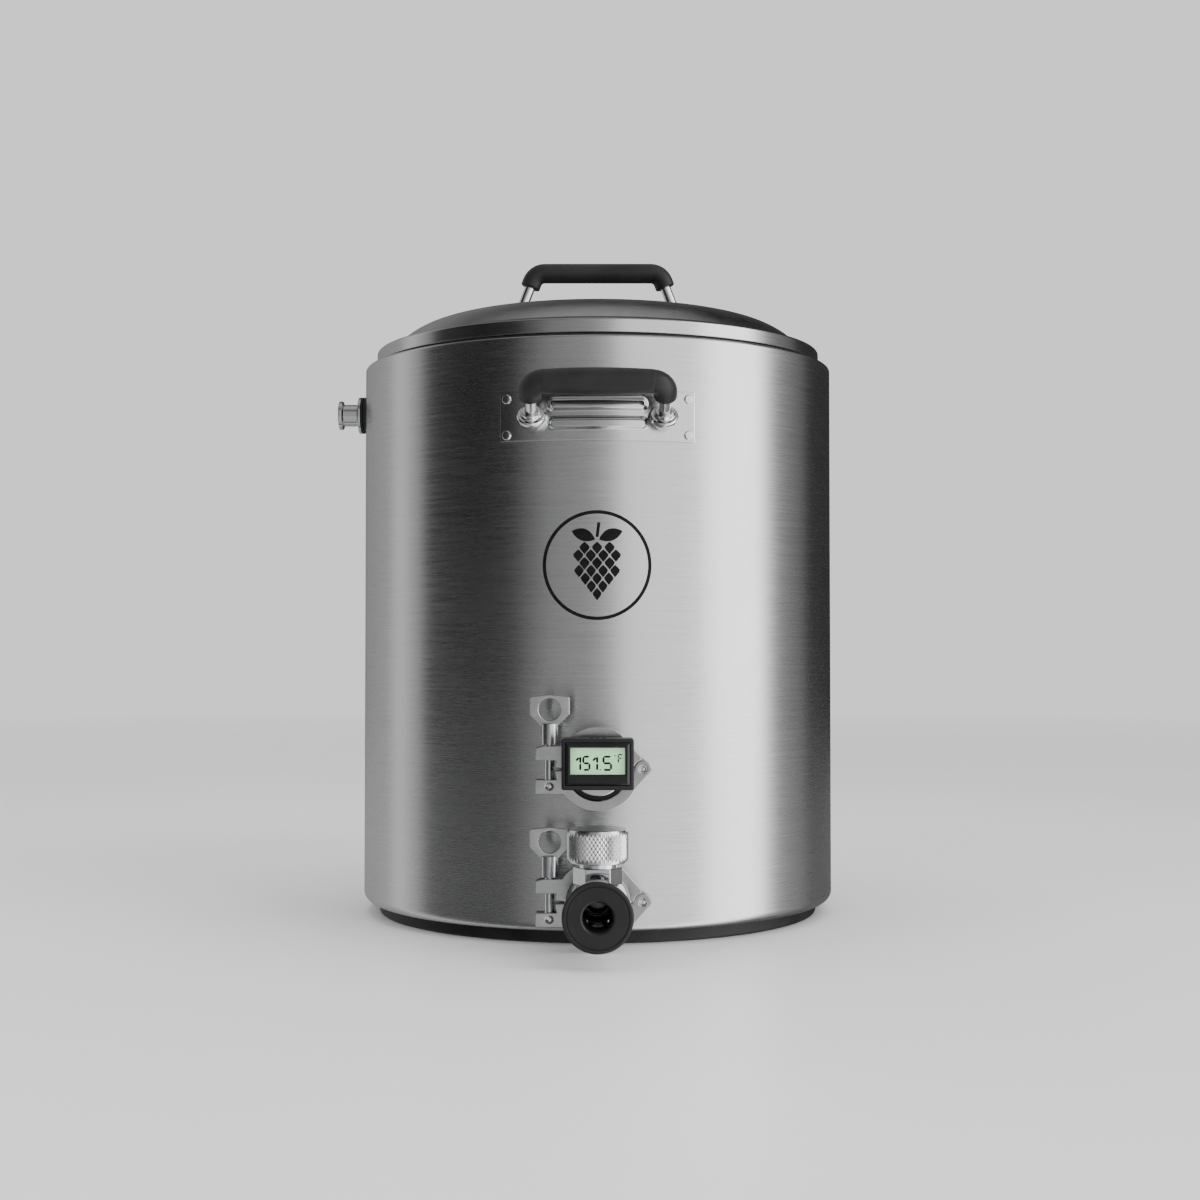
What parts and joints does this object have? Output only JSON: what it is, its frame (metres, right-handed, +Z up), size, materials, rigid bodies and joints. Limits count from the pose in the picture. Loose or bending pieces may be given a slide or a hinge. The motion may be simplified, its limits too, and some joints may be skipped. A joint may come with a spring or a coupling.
{
  "type": "brew kettle",
  "caption": "Double-walled brewing vessel with lift-off domed lid, side handles, clamped digital thermometer, clamped drain valve with knurled knob, side port and false bottom inside.",
  "frame": {"origin": "centre of the base pad's underside, on the kettle's axis", "axes": "+Z up along the kettle's axis, the drain valve and thermometer face -Y, the side port faces -X"},
  "size_m": [0.431, 0.5524, 0.5664],
  "materials": {
    "brushed_steel": "fine circumferential brushing",
    "polished_steel": "polished stainless steel",
    "black_rubber": "matte black silicone rubber",
    "white_silicone": "translucent white silicone",
    "foam": "rigid polyurethane foam",
    "black_plastic": "satin moulded ABS",
    "clear_plastic": "clear display cover",
    "lcd_green": "pale green liquid crystal panel",
    "board_green": "green circuit board"
  },
  "bodies": {
    "kettle": {"base_pad": "black_rubber", "button_cell": "polished_steel", "circuit_board": "board_green", "display_case": "black_plastic", "display_holder": "black_plastic", "display_window": "clear_plastic", "drain_clamp_bolt_pin": "polished_steel", "drain_clamp_hinge_pin": "polished_steel", "drain_clamp_lower_half": "polished_steel", "drain_clamp_upper_half": "polished_steel", "drain_ferrule": "brushed_steel", "drain_gasket": "white_silicone", "front_handle_grip": "black_rubber", "front_handle_plate": "brushed_steel", "front_handle_rivet_1": "polished_steel", "front_handle_rivet_2": "polished_steel", "front_handle_rivet_3": "polished_steel", "front_handle_rivet_4": "polished_steel", "front_handle_rod": "polished_steel", "inner_pot": "brushed_steel", "insulation_foam": "foam", "lcd_panel": "lcd_green", "outer_shell": "brushed_steel", "outlet_seal": "black_rubber", "pickup_tube": "brushed_steel", "rear_handle_grip": "black_rubber", "rear_handle_plate": "brushed_steel", "rear_handle_rivet_1": "polished_steel", "rear_handle_rivet_2": "polished_steel", "rear_handle_rivet_3": "polished_steel", "rear_handle_rivet_4": "polished_steel", "rear_handle_rod": "polished_steel", "side_port_fitting": "polished_steel", "side_port_gasket": "black_rubber", "side_port_nut": "brushed_steel", "temp_probe": "polished_steel", "thermo_clamp_bolt_pin": "polished_steel", "thermo_clamp_hinge_pin": "polished_steel", "thermo_clamp_lower_half": "polished_steel", "thermo_clamp_upper_half": "polished_steel", "thermo_ferrule": "brushed_steel", "thermo_gasket": "white_silicone", "thermowell_cap": "polished_steel", "valve_body": "polished_steel", "valve_bonnet": "polished_steel"},
    "lid": {"lid": "brushed_steel", "lid_gasket": "black_rubber", "lid_handle_rod": "polished_steel", "lid_grip": "black_rubber"},
    "false_bottom": {"false_bottom": "brushed_steel", "false_bottom_gasket": "white_silicone", "false_bottom_loop": "brushed_steel"},
    "knob": {"valve_knob": "polished_steel", "valve_stem": "polished_steel"},
    "plunger": {"valve_plunger": "black_rubber"},
    "thermo_bolt": {"thermo_clamp_swing_bolt": "polished_steel"},
    "thermo_nut": {"thermo_clamp_wing_nut": "polished_steel"},
    "drain_bolt": {"drain_clamp_swing_bolt": "polished_steel"},
    "drain_nut": {"drain_clamp_wing_nut": "polished_steel"}
  },
  "joints": [
    {"name": "lid_lift", "type": "slide", "parent": "kettle", "child": "lid", "axis": [0, 0, 1], "range_m": [0, 0.15]},
    {"name": "false_bottom_lift", "type": "slide", "parent": "kettle", "child": "false_bottom", "axis": [0, 0, 1], "range_m": [0, 0.055]},
    {"name": "knob_turn", "type": "hinge", "parent": "kettle", "child": "knob", "pos_m": [0, -0.266, 0.084], "axis": [0, 0, 1], "range_deg": [-720, 0]},
    {"name": "plunger_travel", "type": "slide", "parent": "kettle", "child": "plunger", "axis": [0, 0, 1], "range_m": [-0.02265, 0]},
    {"name": "thermo_bolt_swing", "type": "hinge", "parent": "kettle", "child": "thermo_bolt", "pos_m": [-0.036, -0.227, 0.1241], "axis": [0, -1, 0], "range_deg": [0, 90]},
    {"name": "thermo_nut_turn", "type": "hinge", "parent": "thermo_bolt", "child": "thermo_nut", "pos_m": [-0.036, -0.227, 0.1669], "axis": [0, 0, 1], "continuous": true},
    {"name": "drain_bolt_swing", "type": "hinge", "parent": "kettle", "child": "drain_bolt", "pos_m": [-0.036, -0.227, 0.0254], "axis": [0, -1, 0], "range_deg": [0, 90]},
    {"name": "drain_nut_turn", "type": "hinge", "parent": "drain_bolt", "child": "drain_nut", "pos_m": [-0.036, -0.227, 0.0682], "axis": [0, 0, 1], "continuous": true}
  ],
  "couplings": [
    {"joint": "plunger_travel", "follows": "knob_turn", "m_per_rad": 0.0018}
  ]
}
